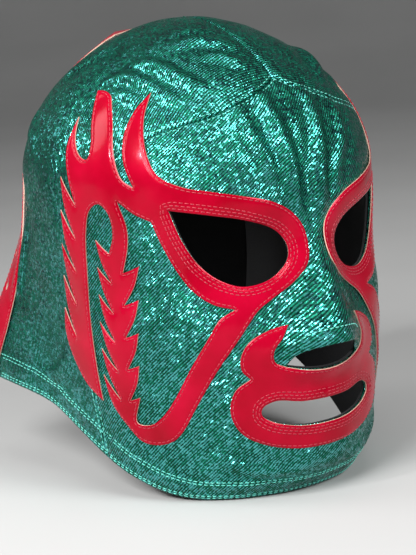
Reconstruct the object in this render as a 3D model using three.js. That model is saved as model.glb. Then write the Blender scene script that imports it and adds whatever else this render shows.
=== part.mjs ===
// A pull-on wrestling hood: stretch lame panels with linings, vinyl trims, and an open laced back.
// Millimetres, +Z up, the face looks along -Y, +X is the wearer's left. The origin is the middle of
// the head at eye level. Every piece is a thin layer that follows one shared surface.
import * as THREE from "three";

// Driving dimensions of the surface
const EQUATOR = 28; // height where the crown dome starts
const CROWN = 98; // height of the top of the dome
const CROWN_ARC = 120; // length from the equator over the surface to the pole
// powers of the superellipses that the dome, the level lines in front and behind, and the nape follow
const DOME_POWER = 1.8;
const SIDE_POWER = 2.15;
const BACK_POWER = 2;
const NAPE_POWER = 3;
const FLARE = 14; // how far the lower corners of the open back stand out
const FLARE_START = 105; // degrees from the front
const FLARE_REACH = 35; // degrees over which it grows
const POLE = EQUATOR + CROWN_ARC;
// height, half breadth, front depth, back depth
const STATIONS = [
  [-135, 63, 66, 124],
  [-104, 70, 88, 122],
  [-68, 75, 91, 115],
  [-20, 77, 89, 96],
  [EQUATOR, 79, 88, 91],
];
// height, how far the nose stands out, its half width
const NOSE = [
  [-68, 0, 20],
  [-54, 9, 20],
  [-44, 19, 18],
  [-25, 13, 13],
  [-5, 5, 10],
  [8, 1.5, 12],
  [25, 0, 16],
];

// brow, eye socket, mouth and chin: how far out, height, its spread, place across, its spread
const FEATURES = [
  [2.5, 16, 12, 28, 26],
  [-5.5, -6, 15, 33, 16],
  [3, -76, 15, 0, 26],
  [3, -103, 12, 0, 20],
];
const CHEEK_BONE = [2.5, -36, 18, 52, 16];

// Layers, from and to, outward from the shared surface
const LAME = [-1, 0];
const LINING = [-2.2, -1.4];
const VINYL = [0.7, 1.8];
const TONGUE_LAYER = [-7.5, -6.5];
const TONGUE_LEAN = 0.24; // how much nearer the middle the tongue hangs, for each mm down
const TONGUE_LEAN_TOP = 60; // height where that starts
const TONGUE_LEAN_START = 100; // degrees from the front where it starts
const TONGUE_LEAN_REACH = 45; // degrees over which it grows
const CHORD_ERROR = 1; // largest distance of a facet from the surface
const VINYL_CHORD_ERROR = 0.25;
const TONGUE_CHORD_ERROR = 1.6;
const SHORTEST_SPLIT = 8;
const LONGEST_EDGE = 32;

// Neck edge, back opening and fold lines, as degrees from the front and height
const NECK_FRONT = -119;
const NECK_RISE = 44;
const OPENING_TOP = 111;
const FOLD_TOP = 20;
const FOLD_NECK_DEG = 98;
const FOLD_GAP = 1.3; // degrees on each side of the fold line
const FOLD_HALF_HEIGHT = 3; // half of the gap at the fold, up the edges of the back opening
const SEAM_FOOT_DEG = 77; // where the face seam meets the neck edge
// where the edges of the panel, the strip and its lap meet the neck edge
const PANEL_FOOT_DEG = 130;
const STRIP_FOOT_DEG = 139;
const LAP_FOOT_DEG = 127;
const FOOT_RISE = 0.5; // of the back edges' lower ends above the neck edge
const FOLD_STEPS = 8;
const FOLD_START = 0.06; // how far past the panel's edge the gap at the fold keeps its width
const FOLD_END = 0.9; // share of the fold line where that gap starts to turn to the neck edge
const STRIP_WIDTH = 20;
const STRIP_LAP = 8; // how much of the strip lies on the lame
const HOLE_PITCH = 16;
const HOLE_RADIUS = 2;
const SEAM_GAP = 0.3;
// height, degrees from the front of the strip's free edge
const FREE_EDGE = [
  [-80, 139],
  [-47, 135],
  [-16, 136],
  [20, 147],
  [50, 158],
  [75, 165],
  [OPENING_TOP, 172],
];

const GREEN = 0x0e7a58;
const RED = 0xb8001c;
const BLACK = 0x17171a;

const toRad = THREE.MathUtils.degToRad;
const toDeg = THREE.MathUtils.radToDeg;
const bump = (value, centre, spread) => Math.exp(-(((value - centre) / spread) ** 2));
const ease = (t) => THREE.MathUtils.smoothstep(t, 0, 1);

// A smooth curve through rows of [height, value, ...], flat beyond both ends
function through(rows, height, column) {
  const last = rows.length - 1;
  if (height <= rows[0][0]) return rows[0][column];
  if (height >= rows[last][0]) return rows[last][column];
  const i = rows.findIndex((row) => row[0] > height) - 1;
  const slope = (k) =>
    k === last || k === 0
      ? 0
      : (rows[k + 1][column] - rows[k - 1][column]) / (rows[k + 1][0] - rows[k - 1][0]);
  const span = rows[i + 1][0] - rows[i][0];
  const t = (height - rows[i][0]) / span;
  const [a, b] = [rows[i][column], rows[i + 1][column]];
  return (
    a * (1 + 2 * t) * (1 - t) ** 2 +
    b * t * t * (3 - 2 * t) +
    span * slope(i) * t * (1 - t) ** 2 -
    span * slope(i + 1) * t * t * (1 - t)
  );
}

// The shared surface: its distance from the Z axis at an angle from the front and a height
function radius(angle, height, scale) {
  const half = through(STATIONS, height, 1) * scale;
  const facing = Math.cos(angle);
  const depth = through(STATIONS, height, facing > 0 ? 2 : 3) * scale;
  const low = ease((20 - height) / 80);
  const power = facing > 0 ? SIDE_POWER : BACK_POWER + (NAPE_POWER - BACK_POWER) * low;
  const across = (Math.abs(Math.sin(angle)) / half) ** power;
  const along = (Math.abs(facing) / depth) ** power;
  const plain = (across + along) ** (-1 / power);
  const round = Math.acos(THREE.MathUtils.clamp(facing, -1, 1));
  const open = ease((4 - height) / 84) * ease((toDeg(round) - FLARE_START) / FLARE_REACH);
  if (facing <= 0) return plain + FLARE * open;
  const x = Math.abs(plain * Math.sin(angle));
  const front = facing * facing;
  const nose = through(NOSE, height, 1) * bump(x, 0, through(NOSE, height, 2));
  const swell = ([out, up, tall, at, wide]) => out * bump(height, up, tall) * bump(x, at, wide);
  const face = FEATURES.reduce((sum, feature) => sum + swell(feature), nose);
  return plain + front * face + swell(CHEEK_BONE) * ease(facing * 4);
}

// A point of the surface. up is the height below the equator, and above it the way over the dome.
function surface(angle, up) {
  let height = up;
  let scale = 1;
  if (up > EQUATOR) {
    const rise = Math.sin((Math.PI / 2) * Math.min(1, (up - EQUATOR) / CROWN_ARC));
    height = EQUATOR + (CROWN - EQUATOR) * rise;
    scale = Math.max(1e-6, 1 - rise ** DOME_POWER) ** (1 / DOME_POWER);
  }
  const r = radius(angle, height, scale);
  return new THREE.Vector3(r * Math.sin(angle), -r * Math.cos(angle), height);
}

// The flat chart that outlines are cut in: the pole in the middle, the neck edge all round it
const chart = (deg, up) => {
  const angle = toRad(deg);
  return new THREE.Vector2((POLE - up) * Math.sin(angle), -(POLE - up) * Math.cos(angle));
};
const unchart = (q) => [toDeg(Math.atan2(q.x, -q.y)), POLE - q.length()];

// The place of a chart point, out from the surface by an offset and in toward the Z axis by a lean
const upright = () => 0;
function onSurface(q, offset, lean) {
  const step = 0.05;
  const at = (x, y) => {
    const [deg, up] = unchart(new THREE.Vector2(x, y));
    return surface(toRad(deg), up);
  };
  const across = at(q.x + step, q.y).sub(at(q.x - step, q.y));
  const along = at(q.x, q.y + step).sub(at(q.x, q.y - step));
  const normal = across.cross(along).normalize();
  const place = at(q.x, q.y);
  const inward = new THREE.Vector3(-place.x, -place.y, 0).setLength(lean(...unchart(q)));
  return place.add(inward).addScaledVector(normal, offset);
}

// Turns the shared edges of a triangulation until no pair of facets is needlessly thin
function relax(points, places, faces) {
  const area = (a, b, c) => points[b].clone().sub(points[a]).cross(points[c].clone().sub(points[a]));
  const angle = (tip, a, b) =>
    places[a].clone().sub(places[tip]).angleTo(places[b].clone().sub(places[tip]));
  for (let pass = 0; pass < 8; pass++) {
    const opposite = new Map();
    faces.forEach((f, i) => f.forEach((a, k) => opposite.set(`${a},${f[(k + 1) % 3]}`, [i, f[(k + 2) % 3]])));
    const moved = new Set();
    for (const [key, [i, c]] of opposite) {
      const [a, b] = key.split(",").map(Number);
      const other = opposite.get(`${b},${a}`);
      if (!other || a > b || moved.has(i) || moved.has(other[0])) continue;
      const d = other[1];
      const thin = angle(c, a, b) + angle(d, a, b) > Math.PI + 0.01;
      if (!thin || area(a, d, c) < 1e-3 || area(d, b, c) < 1e-3) continue;
      faces[i] = [a, d, c];
      faces[other[0]] = [d, b, c];
      moved.add(i).add(other[0]);
    }
    if (moved.size === 0) break;
  }
}

// Splits the edges of a flat triangulation until its facets lie close to the surface
function refine(points, faces, error) {
  const places = points.map((q) => onSurface(q, 0, upright));
  let work = faces;
  for (let round = 0; round < 14; round++) {
    relax(points, places, work);
    const middles = new Map();
    const middle = (a, b) => {
      const key = a < b ? `${a},${b}` : `${b},${a}`;
      if (!middles.has(key)) {
        const q = points[a].clone().add(points[b]).multiplyScalar(0.5);
        const place = onSurface(q, 0, upright);
        const chord = places[a].clone().add(places[b]).multiplyScalar(0.5);
        const long = places[a].distanceTo(places[b]);
        const far = place.distanceTo(chord) > error && long > SHORTEST_SPLIT;
        middles.set(key, long > LONGEST_EDGE || far ? points.push(q) - 1 : -1);
        if (middles.get(key) >= 0) places.push(place);
      }
      return middles.get(key);
    };
    // each triangle starts at its longest edge, and only that edge may ask for a split
    const turned = work.map((face) => {
      const long = face.map((a, i) => places[a].distanceTo(places[face[(i + 1) % 3]]));
      const first = long.indexOf(Math.max(...long));
      return [0, 1, 2].map((i) => face[(i + first) % 3]);
    });
    turned.forEach(([a, b]) => middle(a, b));
    const split = turned.flatMap(([a, b, c]) => {
      const find = (p, q) => middles.get(p < q ? `${p},${q}` : `${q},${p}`) ?? -1;
      const [ab, bc, ca] = [find(a, b), find(b, c), find(c, a)];
      if (ab < 0 && bc < 0 && ca < 0) return [[a, b, c]];
      if (ab >= 0 && bc < 0 && ca < 0) return [[a, ab, c], [ab, b, c]];
      if (ab >= 0 && bc >= 0 && ca < 0) return [[ab, b, bc], [ab, bc, c], [a, ab, c]];
      if (ab >= 0 && bc < 0) return [[a, ab, ca], [ab, b, c], [ab, c, ca]];
      if (ab >= 0) return [[a, ab, ca], [ab, b, bc], [ca, bc, c], [ab, bc, ca]];
      if (bc >= 0 && ca >= 0) return [[a, b, bc], [a, bc, ca], [ca, bc, c]];
      if (bc >= 0) return [[a, b, bc], [a, bc, c]];
      return [[a, b, ca], [ca, b, c]];
    });
    if (split.length === work.length) break;
    work = split;
  }
  relax(points, places, work);
  return work;
}

// A closed thin layer of the surface inside an outline, with its openings left out
function layer(outline, openings, [inner, outer], error, lean = upright) {
  const ccw = THREE.ShapeUtils.isClockWise(outline) ? outline.slice().reverse() : outline;
  const holes = openings.map((h) => (THREE.ShapeUtils.isClockWise(h) ? h : h.slice().reverse()));
  const points = [ccw, ...holes].flat().map((q) => q.clone());
  const faces = refine(points, THREE.ShapeUtils.triangulateShape(ccw, holes), error);
  const count = points.length;
  const positions = [inner, outer].flatMap((offset) =>
    points.flatMap((q) => onSurface(q, offset, lean).toArray()),
  );
  const edges = new Set(faces.flatMap((f) => f.map((a, i) => `${a},${f[(i + 1) % 3]}`)));
  const index = [];
  for (const [a, b, c] of faces) {
    index.push(a + count, b + count, c + count, a, c, b);
    for (const [p, q] of [[a, b], [b, c], [c, a]]) {
      if (!edges.has(`${q},${p}`)) index.push(p, q, q + count, p, q + count, p + count);
    }
  }
  const geometry = new THREE.BufferGeometry();
  geometry.setAttribute("position", new THREE.Float32BufferAttribute(positions, 3));
  geometry.setIndex(index);
  return geometry;
}

// Outlines are strokes of [degrees from the front, up], smooth within a stroke, with corners between
const MM_PER_DEG = 1.4; // round the head, near eye level
function stroke(points, side, spacing = 6.5) {
  const flat = points.map(([deg, up]) => new THREE.Vector3(deg * MM_PER_DEG, up, 0));
  const curve = new THREE.CatmullRomCurve3(flat, false, "centripetal");
  const steps = Math.max(1, Math.round(curve.getLength() / spacing));
  const at = steps === 1 ? [flat[0]] : curve.getSpacedPoints(steps).slice(0, -1);
  return at.map((p) => chart((side * p.x) / MM_PER_DEG, p.y));
}
const outline = (strokes, side, spacing) => strokes.flatMap((s) => stroke(s, side, spacing));
const mirrored = (points) => points.map(([deg, up]) => [-deg, up]).reverse();

const neck = (deg) => NECK_FRONT + NECK_RISE * ease((Math.abs(deg) - 35) / 100);
function neckEdge(from, to) {
  const count = Math.ceil(Math.abs(to - from) / 6);
  const degs = Array.from({ length: count + 1 }, (_, i) => from + ((to - from) * i) / count);
  return degs.map((deg) => [deg, neck(deg)]);
}

// Eye opening: a teardrop that points outward
const EYE = [
  [[43, 17], [32, 14.5], [21, 11], [12.5, 5.5], [8.7, -2], [9, -9], [14, -16.5], [22, -19],
   [29, -15.5], [35, -8], [39.5, 3], [43, 17]],
];
// Mouth opening, and the nose opening above it
const MOUTH_HALF = [[0, -73], [8, -72.6], [15.5, -71], [19.3, -73.5], [19.6, -77], [16.5, -80.5],
  [9, -83.6], [0, -84.4]];
const MOUTH = [[...MOUTH_HALF, ...mirrored(MOUTH_HALF).slice(1)]];
const TRIM_TOP = [[0, -59], [6.5, -58], [12.5, -55.6]];
const NOSTRIL_TOP = [[12.5, -55.6], [10, -50.5], [5, -46.8], [0, -45.6]];
const NOSTRILS = [
  [...mirrored(TRIM_TOP), ...TRIM_TOP.slice(1)],
  [...NOSTRIL_TOP, ...mirrored(NOSTRIL_TOP).slice(1)],
];

// Mouth trim: a band round the mouth with two horns that rise beside the nose
const LOBE = [[0, -95], [9.5, -94.3], [18.5, -91], [25, -85.5], [28, -78], [28.3, -71], [26.5, -64.5],
  [22.3, -60]];
const HORN = [[22.3, -60], [24.6, -56], [24.8, -50], [22.3, -43.5], [17, -39], [11.5, -36.5]];
const HORN_INSIDE = [[11.5, -36.5], [13.2, -42], [15.6, -48], [15.4, -53], [12.5, -55.6]];
const MOUTH_TRIM = [
  LOBE, HORN, HORN_INSIDE,
  [...mirrored(TRIM_TOP), ...TRIM_TOP.slice(1)].reverse(),
  mirrored(HORN_INSIDE), mirrored(HORN), mirrored(LOBE),
];

// A row of flame tongues down an edge: each one rises from its notch to its tip, and bends on the
// way at these shares of the degrees and of the height
const RISE_DEG = 0.45;
const RISE_UP = 0.4;
function tongues(count, notch, notchStep, tip, tipStep, bulge) {
  const place = (start, step, i) => [start[0] + step[0] * i, start[1] + step[1] * i];
  const strokes = [];
  for (let i = 0; i < count; i++) {
    const from = place(notch, notchStep, i);
    const to = place(tip, tipStep, i);
    const next = place(notch, notchStep, i + 1);
    const rise = [from[0] + (to[0] - from[0]) * RISE_DEG, from[1] + (to[1] - from[1]) * RISE_UP];
    strokes.push([from, rise, to]);
    const fall = [(to[0] + next[0]) / 2 + bulge, (to[1] + next[1]) / 2];
    if (i < count - 1) strokes.push([to, fall, next]);
  }
  return strokes;
}
const REAR_TONGUES = 5;
const INNER_TONGUES = 6;
const CHEEK_TONGUES = 5;
const rear = tongues(REAR_TONGUES, [77.5, 18], [1.7, -15.6], [84.5, 31], [1.5, -15.6], 1.6);
const inner = tongues(INNER_TONGUES, [64.3, -3], [0.1, -13.6], [69.6, 3], [0.4, -12.6], 1);
const cheek = tongues(CHEEK_TONGUES, [59.6, -11.5], [0.3, -14.8], [53.6, -8], [0.8, -15.2], -1);
const last = (strokes) => strokes.at(-1).at(-1);

// Eye trim: the ring, the flame beside the temple and the strap down the cheek are one piece
const EYE_TRIM = [
  [[49.5, 73], [50.8, 60], [49.3, 44], [45.5, 32.5], [38.5, 27], [31.5, 24.8], [22.5, 22], [13.5, 18.3],
   [7.6, 13], [4, 6], [3, -2], [4, -10.5], [8.5, -19], [14.5, -25.3], [19, -30], [25, -41.5],
   [31, -54], [38, -71.5], [43.3, -84.5], [47, -89], [52.5, -91], [58, -89.8], [63, -83.5],
   [68, -75.5], [69.8, -70], last(inner)],
  ...inner.map((s) => s.slice().reverse()).reverse(),
  [[64.3, -3], [62.2, 6], [63.3, 15], [66.8, 19.5], [71, 16.5], [73.7, 6], [75, -12], [75.4, -34],
   [74.8, -55], [73.5, -73]],
  [[73.5, -73], [81.5, -66], [88, -54], [91.3, -42], last(rear)],
  ...rear.map((s) => s.slice().reverse()).reverse(),
  [[77.5, 18], [80.5, 32], [82.5, 46], [80.5, 60.5]],
  [[80.5, 60.5], [79, 50], [75.5, 42], [71.5, 40], [70.5, 47], [72.6, 58], [76, 74.5]],
  [[76, 74.5], [71, 74], [67.2, 71.5], [65.3, 67], [62.8, 58], [60.5, 42], [57.5, 31], [53.5, 27]],
  [[53.5, 27], [57, 40], [57.3, 53], [54.5, 64], [49.5, 73]],
];
const CHEEK_WINDOW = [
  [[59.5, 21], [54, 15.5], [48.5, 12]],
  [[48.5, 12], [45.5, 1], [41.5, -10.5], [37, -19.5], [31.5, -25.5], [25.5, -28.3]],
  [[25.5, -28.3], [30, -32], [33.5, -40], [39, -53.5], [44.5, -68], [49.5, -77.5], [54, -81.6],
   [59, -81], last(cheek)],
  ...cheek.map((s) => s.slice().reverse()).reverse(),
  [[59.6, -11.5], [57.2, 0], [56.8, 9], [59.5, 21]],
];

// Seam between the face panel and a side panel, from the crown to the neck edge
const SEAM = [[0, 77.5], [7.5, 71.9], [18.5, 65.4], [28, 60], [38.5, 56], [48, 51.5], [59, 43], [70, 27],
  [78, 5], [81, -28], [79, -68], [77, -102.5]];
const seam = (gap) => SEAM.map(([deg, up]) => [deg + gap, up + gap]);

// Moves along a level line of the surface by a length in mm
function alongLevel(deg, up, length) {
  const step = Math.sign(length);
  let angle = toRad(deg);
  for (let left = Math.abs(length); left > 0; left -= 1) {
    const ahead = surface(angle + 0.01 * step, up).distanceTo(surface(angle, up));
    angle += (step * 0.01 * Math.min(left, 1)) / ahead;
  }
  return toDeg(angle);
}
const freeEdge = (up) => [through(FREE_EDGE, up, 1), up];
const lapEdge = (up, width) => [alongLevel(through(FREE_EDGE, up, 1), up, -width), up];
function levels(from, to, edge) {
  const count = Math.ceil(Math.abs(to - from) / 7);
  return Array.from({ length: count + 1 }, (_, i) => edge(from + ((to - from) * i) / count));
}

// Fold line of a back flap, from the strip's free edge down to the neck edge
const FOLD_EDGE = freeEdge(FOLD_TOP);
const FOLD_NECK = [FOLD_NECK_DEG, neck(FOLD_NECK_DEG)];
const fold = (t, gap) => [
  FOLD_EDGE[0] + (FOLD_NECK[0] - FOLD_EDGE[0]) * t + gap,
  FOLD_EDGE[1] + (FOLD_NECK[1] - FOLD_EDGE[1]) * t,
];
const PANEL_SET_BACK = STRIP_WIDTH - STRIP_LAP;
const panelEdge = (up) => lapEdge(up, PANEL_SET_BACK);
// The share of the fold line where it crosses a line that lies a width in front of the free edge
function foldMeets(width) {
  const tries = Array.from({ length: 101 }, (_, i) => i / 100);
  return tries.find((t) => fold(t, 0)[0] <= lapEdge(fold(t, 0)[1], width)[0]);
}
const MEET = foldMeets(PANEL_SET_BACK);
const MEET_UP = fold(MEET, 0)[1];
const FOLD_TOP_AT_LAP = fold(foldMeets(STRIP_WIDTH), 0)[1];
const foldStroke = (gap, from, to) =>
  Array.from({ length: FOLD_STEPS + 1 }, (_, i) => fold(from + ((to - from) * i) / FOLD_STEPS, gap));

const facePanel = () => {
  const half = [...seam(-SEAM_GAP).slice(1), ...neckEdge(SEAM_FOOT_DEG - SEAM_GAP, 0).slice(1)];
  const right = half.map(([deg, up]) => chart(-deg, up));
  const left = half.slice(0, -1).map(([deg, up]) => chart(deg, up)).reverse();
  return [chart(0, SEAM[0][1] - SEAM_GAP), ...right, ...left];
};
const faceOpenings = () => [
  outline(EYE, -1, 6), outline(EYE, 1, 6), outline(MOUTH, 1, 6), outline(NOSTRILS, 1, 6),
];
const SEAM_TOP = new THREE.Vector2(0, -(POLE - SEAM[0][1] - SEAM_GAP));
const OPENING_TIP = new THREE.Vector2(0, POLE - OPENING_TOP);

const crownPanel = (side) => {
  const rim = [
    ...seam(SEAM_GAP).slice(1),
    ...neckEdge(SEAM_FOOT_DEG + SEAM_GAP, FOLD_NECK_DEG - FOLD_GAP).slice(1),
    ...foldStroke(-FOLD_GAP, FOLD_END, MEET + FOLD_START),
    ...levels(MEET_UP + FOLD_HALF_HEIGHT, OPENING_TOP, panelEdge),
  ].map(([deg, up]) => chart(side * deg, up));
  const middle = new THREE.Vector2((side * SEAM_GAP) / 2, 0);
  return [SEAM_TOP.clone().add(middle), ...rim, OPENING_TIP.clone().add(middle)];
};
const flapPanel = (side) =>
  [
    ...levels(neck(STRIP_FOOT_DEG) + FOOT_RISE, MEET_UP - FOLD_HALF_HEIGHT, panelEdge),
    ...foldStroke(FOLD_GAP, MEET + FOLD_START, FOLD_END),
    ...neckEdge(FOLD_NECK_DEG + FOLD_GAP, PANEL_FOOT_DEG),
  ].map(([deg, up]) => chart(side * deg, up));

const strip = (side, [freeFrom, freeTo], [lapFrom, lapTo]) =>
  [
    ...levels(freeFrom, freeTo, freeEdge),
    ...levels(lapTo, lapFrom, (up) => lapEdge(up, STRIP_WIDTH)),
  ].map(([deg, up]) => chart(side * deg, up));

// Lace holes up the middle of the free part of a strip, from and to these heights
const LOWER_HOLES = [-62, -10];
const UPPER_HOLES = [36, 101];
const HOLE_SIDES = 8;
function laceHoles(side, from, to) {
  const holes = [];
  for (let up = from; up <= to; up += HOLE_PITCH) {
    const deg = lapEdge(up, PANEL_SET_BACK / 2)[0];
    const centre = surface(toRad(deg), up);
    const perDeg = surface(toRad(deg + 1), up).distanceTo(centre);
    const perUp = surface(toRad(deg), up + 1).distanceTo(centre);
    const ring = Array.from({ length: HOLE_SIDES }, (_, i) => {
      const turn = (i * 2 * Math.PI) / HOLE_SIDES;
      const across = (HOLE_RADIUS * Math.cos(turn)) / perDeg;
      return chart(side * (deg + across), up + (HOLE_RADIUS * Math.sin(turn)) / perUp);
    });
    holes.push(ring);
  }
  return holes;
}

// The tongue hangs inside the back opening from a seam near its top, and wraps round the nape
const TONGUE = [[-75, 126], [-60, 124], [-20, 122], [20, 126], [60, 137], [95, 148], [116, 153]];
const TONGUE_TOP = 116;
const TONGUE_LOW = -72;
const tongueLean = (deg, up) => {
  const lean = TONGUE_LEAN * Math.max(0, TONGUE_LEAN_TOP - up);
  return lean * ease((Math.abs(deg) - TONGUE_LEAN_START) / TONGUE_LEAN_REACH);
};
const backTongue = () => {
  const edge = (up) => [through(TONGUE, up, 1), up];
  const right = levels(TONGUE_TOP, TONGUE_LOW, edge);
  const foot = [[128, -79], [134, -84], [144, -87], [160, -88], [180, -88]];
  const half = [...right, ...foot];
  const left = half.slice(0, -1).reverse();
  return [...half.map(([d, up]) => chart(-d, up)), ...left.map(([d, up]) => chart(d, up))];
};

const lame = () => new THREE.MeshStandardMaterial({ color: GREEN, roughness: 0.45, metalness: 0.4 });
const vinyl = () => new THREE.MeshStandardMaterial({ color: RED, roughness: 0.2, metalness: 0 });
const knit = () => new THREE.MeshStandardMaterial({ color: BLACK, roughness: 0.9, metalness: 0 });

const hood = new THREE.Group();
function add(name, geometry, material) {
  const mesh = new THREE.Mesh(geometry, material);
  mesh.name = name;
  hood.add(mesh);
}

add("face_panel", layer(facePanel(), faceOpenings(), LAME, CHORD_ERROR), lame());
add("face_lining", layer(facePanel(), faceOpenings(), LINING, CHORD_ERROR), knit());
const mouthTrim = layer(outline(MOUTH_TRIM, 1), [outline(MOUTH, 1)], VINYL, VINYL_CHORD_ERROR);
add("mouth_trim", mouthTrim, vinyl());
const tongue = layer(backTongue(), [], TONGUE_LAYER, TONGUE_CHORD_ERROR, tongueLean);
add("back_tongue", tongue, knit());

for (const [name, side] of [["right", -1], ["left", 1]]) {
  add(`${name}_side_panel`, layer(crownPanel(side), [], LAME, CHORD_ERROR), lame());
  add(`${name}_side_lining`, layer(crownPanel(side), [], LINING, CHORD_ERROR), knit());
  add(`${name}_back_flap`, layer(flapPanel(side), [], LAME, CHORD_ERROR), lame());
  add(`${name}_flap_lining`, layer(flapPanel(side), [], LINING, CHORD_ERROR), knit());
  const windows = [outline(EYE, side), outline(CHEEK_WINDOW, side)];
  const eyeTrim = layer(outline(EYE_TRIM, side), windows, VINYL, VINYL_CHORD_ERROR);
  add(`${name}_eye_trim`, eyeTrim, vinyl());
  const low = [neck(STRIP_FOOT_DEG) + FOOT_RISE, FOLD_TOP - FOLD_HALF_HEIGHT];
  const lowLap = [neck(LAP_FOOT_DEG) + FOOT_RISE, FOLD_TOP_AT_LAP - FOLD_HALF_HEIGHT];
  const lowHoles = laceHoles(side, ...LOWER_HOLES);
  const lower = layer(strip(side, low, lowLap), lowHoles, VINYL, VINYL_CHORD_ERROR);
  add(`${name}_eyelet_strip_lower`, lower, vinyl());
  const high = [FOLD_TOP + FOLD_HALF_HEIGHT, OPENING_TOP];
  const highLap = [FOLD_TOP_AT_LAP + FOLD_HALF_HEIGHT, OPENING_TOP];
  const highHoles = laceHoles(side, ...UPPER_HOLES);
  const upper = layer(strip(side, high, highLap), highHoles, VINYL, VINYL_CHORD_ERROR);
  add(`${name}_eyelet_strip_upper`, upper, vinyl());
}

export default hood;
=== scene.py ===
"""Looks of a pull-on wrestling hood: stretch lame panels, vinyl flame trims and an open laced back.

Every piece is a thin layer that follows one shared surface, the same one that the CAD model has.
Lengths are millimetres in the frame's axes and become metres when a mesh is made. Outlines are
strokes of (degrees from the front, up): up is the height below the equator of the head and the way
over the dome above it. They are drawn for the wearer's left, and the right side mirrors them.
"""

import bpy
import numpy as np
from mathutils import Matrix, Vector
from mathutils.geometry import delaunay_2d_cdt
from mathutils.kdtree import KDTree


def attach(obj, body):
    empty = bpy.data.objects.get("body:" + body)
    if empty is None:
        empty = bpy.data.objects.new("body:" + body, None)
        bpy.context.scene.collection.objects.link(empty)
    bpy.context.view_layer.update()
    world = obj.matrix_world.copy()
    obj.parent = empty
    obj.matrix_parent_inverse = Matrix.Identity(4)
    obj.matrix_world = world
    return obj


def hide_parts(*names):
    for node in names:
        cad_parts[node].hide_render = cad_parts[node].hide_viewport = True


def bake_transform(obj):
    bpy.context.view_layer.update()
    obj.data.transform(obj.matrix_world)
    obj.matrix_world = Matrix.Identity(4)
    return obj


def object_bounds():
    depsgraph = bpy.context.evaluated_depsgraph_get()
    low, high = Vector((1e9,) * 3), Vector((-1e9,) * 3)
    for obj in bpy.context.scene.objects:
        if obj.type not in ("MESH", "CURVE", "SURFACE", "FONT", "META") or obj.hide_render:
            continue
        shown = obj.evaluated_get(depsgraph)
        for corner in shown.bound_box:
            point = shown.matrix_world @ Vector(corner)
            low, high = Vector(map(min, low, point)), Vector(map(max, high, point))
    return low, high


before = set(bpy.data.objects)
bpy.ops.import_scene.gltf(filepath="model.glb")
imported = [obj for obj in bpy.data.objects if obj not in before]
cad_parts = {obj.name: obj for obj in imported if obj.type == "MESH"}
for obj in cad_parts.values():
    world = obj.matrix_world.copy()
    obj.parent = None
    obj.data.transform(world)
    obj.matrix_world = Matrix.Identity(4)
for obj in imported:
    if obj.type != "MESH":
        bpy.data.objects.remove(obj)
cad_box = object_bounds()

MM = 0.001
SIDES = {"right": -1, "left": 1}

# ------------ the shared surface

EQUATOR, CROWN, CROWN_ARC = 28.0, 98.0, 120.0
# powers of the superellipses that the dome, the level lines in front and behind, and the nape follow
DOME_POWER, SIDE_POWER, BACK_POWER, NAPE_POWER = 1.8, 2.15, 2.0, 3.0
NAPE_TOP, NAPE_REACH = 20.0, 80.0  # height where the back starts to square off, and over what drop
# of the lower corners of the open back: how far out, from which degrees over how many, from which
# height over what drop
FLARE, FLARE_START, FLARE_REACH, FLARE_TOP, FLARE_DROP = 14.0, 105.0, 35.0, 4.0, 84.0
POLE = EQUATOR + CROWN_ARC
CHART_RADIUS = 82.0  # of the head below the equator, for the flat chart only
# height, half breadth, front depth, back depth
STATIONS = np.array([
    (-135, 63, 66, 124),
    (-104, 70, 88, 122),
    (-68, 75, 91, 115),
    (-20, 77, 89, 96),
    (EQUATOR, 79, 88, 91),
])
# height, how far the nose stands out, its half width
NOSE = np.array([
    (-68, 0, 20), (-54, 9, 20), (-44, 19, 18), (-25, 13, 13), (-5, 5, 10), (8, 1.5, 12), (25, 0, 16),
])
# brow, eye socket, mouth and chin: how far out, height, its spread, place across, its spread
FEATURES = [(2.5, 16, 12, 28, 26), (-5.5, -6, 15, 33, 16), (3, -76, 15, 0, 26), (3, -103, 12, 0, 20)]
CHEEK_BONE = (2.5, -36, 18, 52, 16)
# height of the neck edge in front, its rise to the back, from which degrees and over how many
NECK_FRONT, NECK_RISE, NECK_START, NECK_REACH = -119.0, 44.0, 35.0, 100.0


def bump(value, centre, spread):
    return np.exp(-(((value - centre) / spread) ** 2))


def ease(t):
    t = np.clip(t, 0, 1)
    return t * t * (3 - 2 * t)


def through(rows, height, column):
    """A smooth curve through rows of (height, value, ...), flat beyond both ends."""
    heights, values = rows[:, 0], rows[:, column]
    slopes = np.zeros(len(rows))
    slopes[1:-1] = (values[2:] - values[:-2]) / (heights[2:] - heights[:-2])
    height = np.clip(height, heights[0], heights[-1])
    i = np.clip(np.searchsorted(heights, height, side="right") - 1, 0, len(rows) - 2)
    span = heights[i + 1] - heights[i]
    t = (height - heights[i]) / span
    return (
        values[i] * (1 + 2 * t) * (1 - t) ** 2
        + values[i + 1] * t * t * (3 - 2 * t)
        + span * slopes[i] * t * (1 - t) ** 2
        - span * slopes[i + 1] * t * t * (1 - t)
    )


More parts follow.
